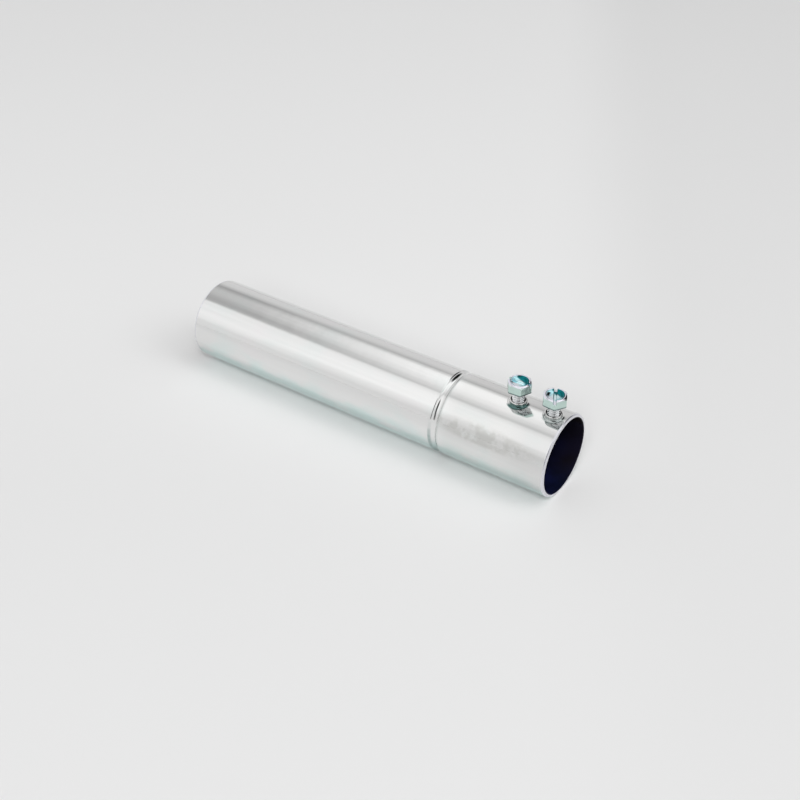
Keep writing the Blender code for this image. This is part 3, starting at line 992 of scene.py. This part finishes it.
def hexHalfLength(y, inset):
    # Half the hexagon's length at y, its corners on X, drawn in by inset, corners rounded
    apothem = screwSettings["flats"] / 2 - inset
    rounding = screwSettings["cornerRounding"] - inset
    y = abs(y)
    if y < rounding / 2:
        return (apothem - rounding) / cos30 + math.sqrt(rounding**2 - y**2)
    topStart = apothem - rounding / 2
    if y > topStart:
        cornerX = (apothem - rounding) / 2 / cos30
        rise = min(y - (apothem - rounding), rounding)
        return cornerX + math.sqrt(rounding**2 - rise**2)
    return (apothem - y / 2) / cos30


def slotColumns():
    # Columns across the head: (distance from the slot's middle, lip drop or None, foot rise)
    look = screwSettings
    foot = look["slotFoot"]
    lip = look["slotLip"]
    wallY = look["slotWidth"] / 2
    columns = [(y, None, 0.0) for y in evenly(0.0, wallY - foot, 4)]
    for angle in evenly(0.0, math.pi / 2, 5)[1:]:
        columns.append((wallY - foot * (1 - math.sin(angle)), None, foot * (1 - math.cos(angle))))
    for angle in evenly(0.0, math.pi / 2, 5):
        y = wallY + look["slotDraft"] + lip * (1 - math.cos(angle))
        columns.append((y, lip * (1 - math.sin(angle)), 0.0))
    last = look["flats"] / 2 - look["edgeRounding"]
    start = columns[-1][0]
    more = look["halfHeadColumns"] - (len(columns) - 1)
    columns += [(y, 0.0, 0.0) for y in evenly(start, last, more)[1:]]
    return columns


def headPoints(points, faces):
    # The head as one skin: top, rounded edge, sides and underside; gives back its underside ring
    look = screwSettings
    top = look["headHeight"]
    slotFloor = top - look["slotDepth"]
    halfColumns = slotColumns()
    columns = [(-y, lip, rise) for y, lip, rise in halfColumns[:0:-1]] + halfColumns
    across = len(columns) - 1
    along = look["shankSides"] * 3 // 2 - across  # three points of the outline to a shank side
    edge = look["edgeRounding"]
    grid = []
    for y, lip, rise in columns:
        row = []
        halfLength = hexHalfLength(y, edge)
        for share in evenly(-1.0, 1.0, along):
            x = halfLength * share
            if lip is None:
                z = slotFloor + rise
            else:
                z = top - turnedDrop(math.hypot(x, y)) - lip
            row.append(len(points))
            points.append((x, y, z))
        grid.append(row)
    for first, second in zip(grid, grid[1:]):
        for i in range(along):
            faces.append((first[i], first[i + 1], second[i + 1], second[i]))

    # Keys of the grid's edge, anticlockwise from the corner at -X, -Y
    border = [(0, i) for i in range(along)]
    border += [(j, along) for j in range(across)]
    border += [(across, along - i) for i in range(along)]
    border += [(across - j, 0) for j in range(across)]
    borderRing = [grid[j][i] for j, i in border]
    insetApothem = look["flats"] / 2 - edge
    slotEdge = look["slotWidth"] / 2 + look["slotLip"] + look["slotDraft"]

    def outlineRing(inset, heightAt):
        ring = []
        for (j, i), key in zip(border, borderRing):
            y = columns[j][0]
            share = max(0.0, (abs(y) - slotEdge) / (insetApothem - slotEdge))
            y = math.copysign(abs(y) + (edge - inset) * share, y)
            x = hexHalfLength(y, inset) * (2.0 * i / along - 1.0)
            ring.append(len(points))
            points.append((x, y, heightAt(points[key][2])))
        return ring

    rings = [borderRing]
    for angle in evenly(0.0, math.pi / 2, 4)[1:]:
        inset = edge * (1 - math.sin(angle))
        drop = edge * (1 - math.cos(angle))
        rings.append(outlineRing(inset, lambda z: z - drop))
    for share in quarters[::-1]:
        rings.append(outlineRing(0.0, lambda z: edge + (z - 2 * edge) * share))
    for angle in evenly(0.0, math.pi / 2, 4):
        rings.append(outlineRing(edge * (1 - math.cos(angle)), lambda z: edge * (1 - math.sin(angle))))
    bridgeRings(faces, rings)
    return rings[-1]


def threadWave(phase):
    # 0 at the root, 1 at the crest, over one turn's pitch
    look = screwSettings
    crest = look["threadCrest"] / look["threadPitch"]
    root = look["threadRoot"] / look["threadPitch"]
    flank = (1.0 - crest - root) / 2
    away = abs((phase % 1.0) - 0.5)
    return min(max((0.5 - root / 2 - away) / flank, 0.0), 1.0)


def shankPoints(points, faces, headRing):
    # The threaded shank from the head's underside ring to its tip, in the same skin
    look = screwSettings
    sides = look["shankSides"]
    pitch = look["threadPitch"]
    flank = (pitch - look["threadCrest"] - look["threadRoot"]) / 2
    depth = flank / math.tan(math.radians(30))
    core = look["threadDiameter"] / 2 - depth
    startAngle = math.atan2(points[headRing[0]][1], points[headRing[0]][0])
    angles = [startAngle + 2 * math.pi * i / sides for i in range(sides)]

    def addRing(radiusAt, z):
        ring = []
        for angle in angles:
            radius = radiusAt(angle)
            ring.append(len(points))
            points.append((radius * math.cos(angle), radius * math.sin(angle), z))
        return ring

    fillet = look["neckFillet"]
    rings = [addRing(lambda angle: core + fillet, 0.0)]
    for share in evenly(0.0, math.pi / 2, 4)[1:]:
        radius = core + fillet * (1 - math.sin(share))
        rings.append(addRing(lambda angle: radius, -fillet * (1 - math.cos(share))))
    tipStart = look["shankLength"] - look["tipChamfer"]
    threaded = tipStart - look["neckLength"]
    neckEnd, tipEnd = look["threadEnds"]
    rows = round((tipStart - fillet) / pitch * look["rowsPerTurn"])
    for down in evenly(fillet, tipStart, rows)[1:]:
        along = (down - look["neckLength"]) / threaded
        rise = min(max(along * neckEnd, 0.0), max((1 - along) * tipEnd, 0.0), 1.0)
        turnShare = down / pitch
        rings.append(addRing(
            lambda angle: core + depth * rise * threadWave(turnShare + angle / (2 * math.pi)),
            -down))
    chamfer = look["tipChamfer"]
    for share in evenly(0.0, math.pi / 2, 5)[1:]:
        radius = core - chamfer * (1 - math.cos(share))
        rings.append(addRing(lambda angle: radius, -tipStart - chamfer * math.sin(share)))
    bridgeRings(faces, rings)
    faces.append(tuple(rings[-1]))

    # The ring under the head has more points than the neck's
    ratio = len(headRing) // sides
    for i in range(sides):
        j = (i + 1) % sides
        span = [headRing[(ratio * i + n) % len(headRing)] for n in range(ratio + 1)]
        faces.append((*span, rings[0][j], rings[0][i]))


def buildScrew(body, material):
    node = screwNodes[body]
    points = []
    faces = []
    headRing = headPoints(points, faces)
    shankPoints(points, faces, headRing)
    turn = Matrix.Rotation(math.radians(screwSettings["slotTurnDegrees"][body]), 3, "Z")
    points = [turn @ Vector(point) for point in points]
    place = screwPlace(node)
    place.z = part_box(node)[1].z - screwSettings["headHeight"]
    makePiece("blue_" + body, points, faces, [material], place, body, node)


brightZinc = makeBrightZinc()
boreShade = makeBoreShade()
blueZinc = makeBlueZinc()
print("finishes made")

buildTube([brightZinc, boreShade])
print("tube built")
for body in screwNodes:
    buildScrew(body, blueZinc)
print("screws built")

addFloor()
addStudio()
addCamera()
bpy.context.scene.view_settings.view_transform = "Standard"
print("studio set")

bpy.context.view_layer.update()
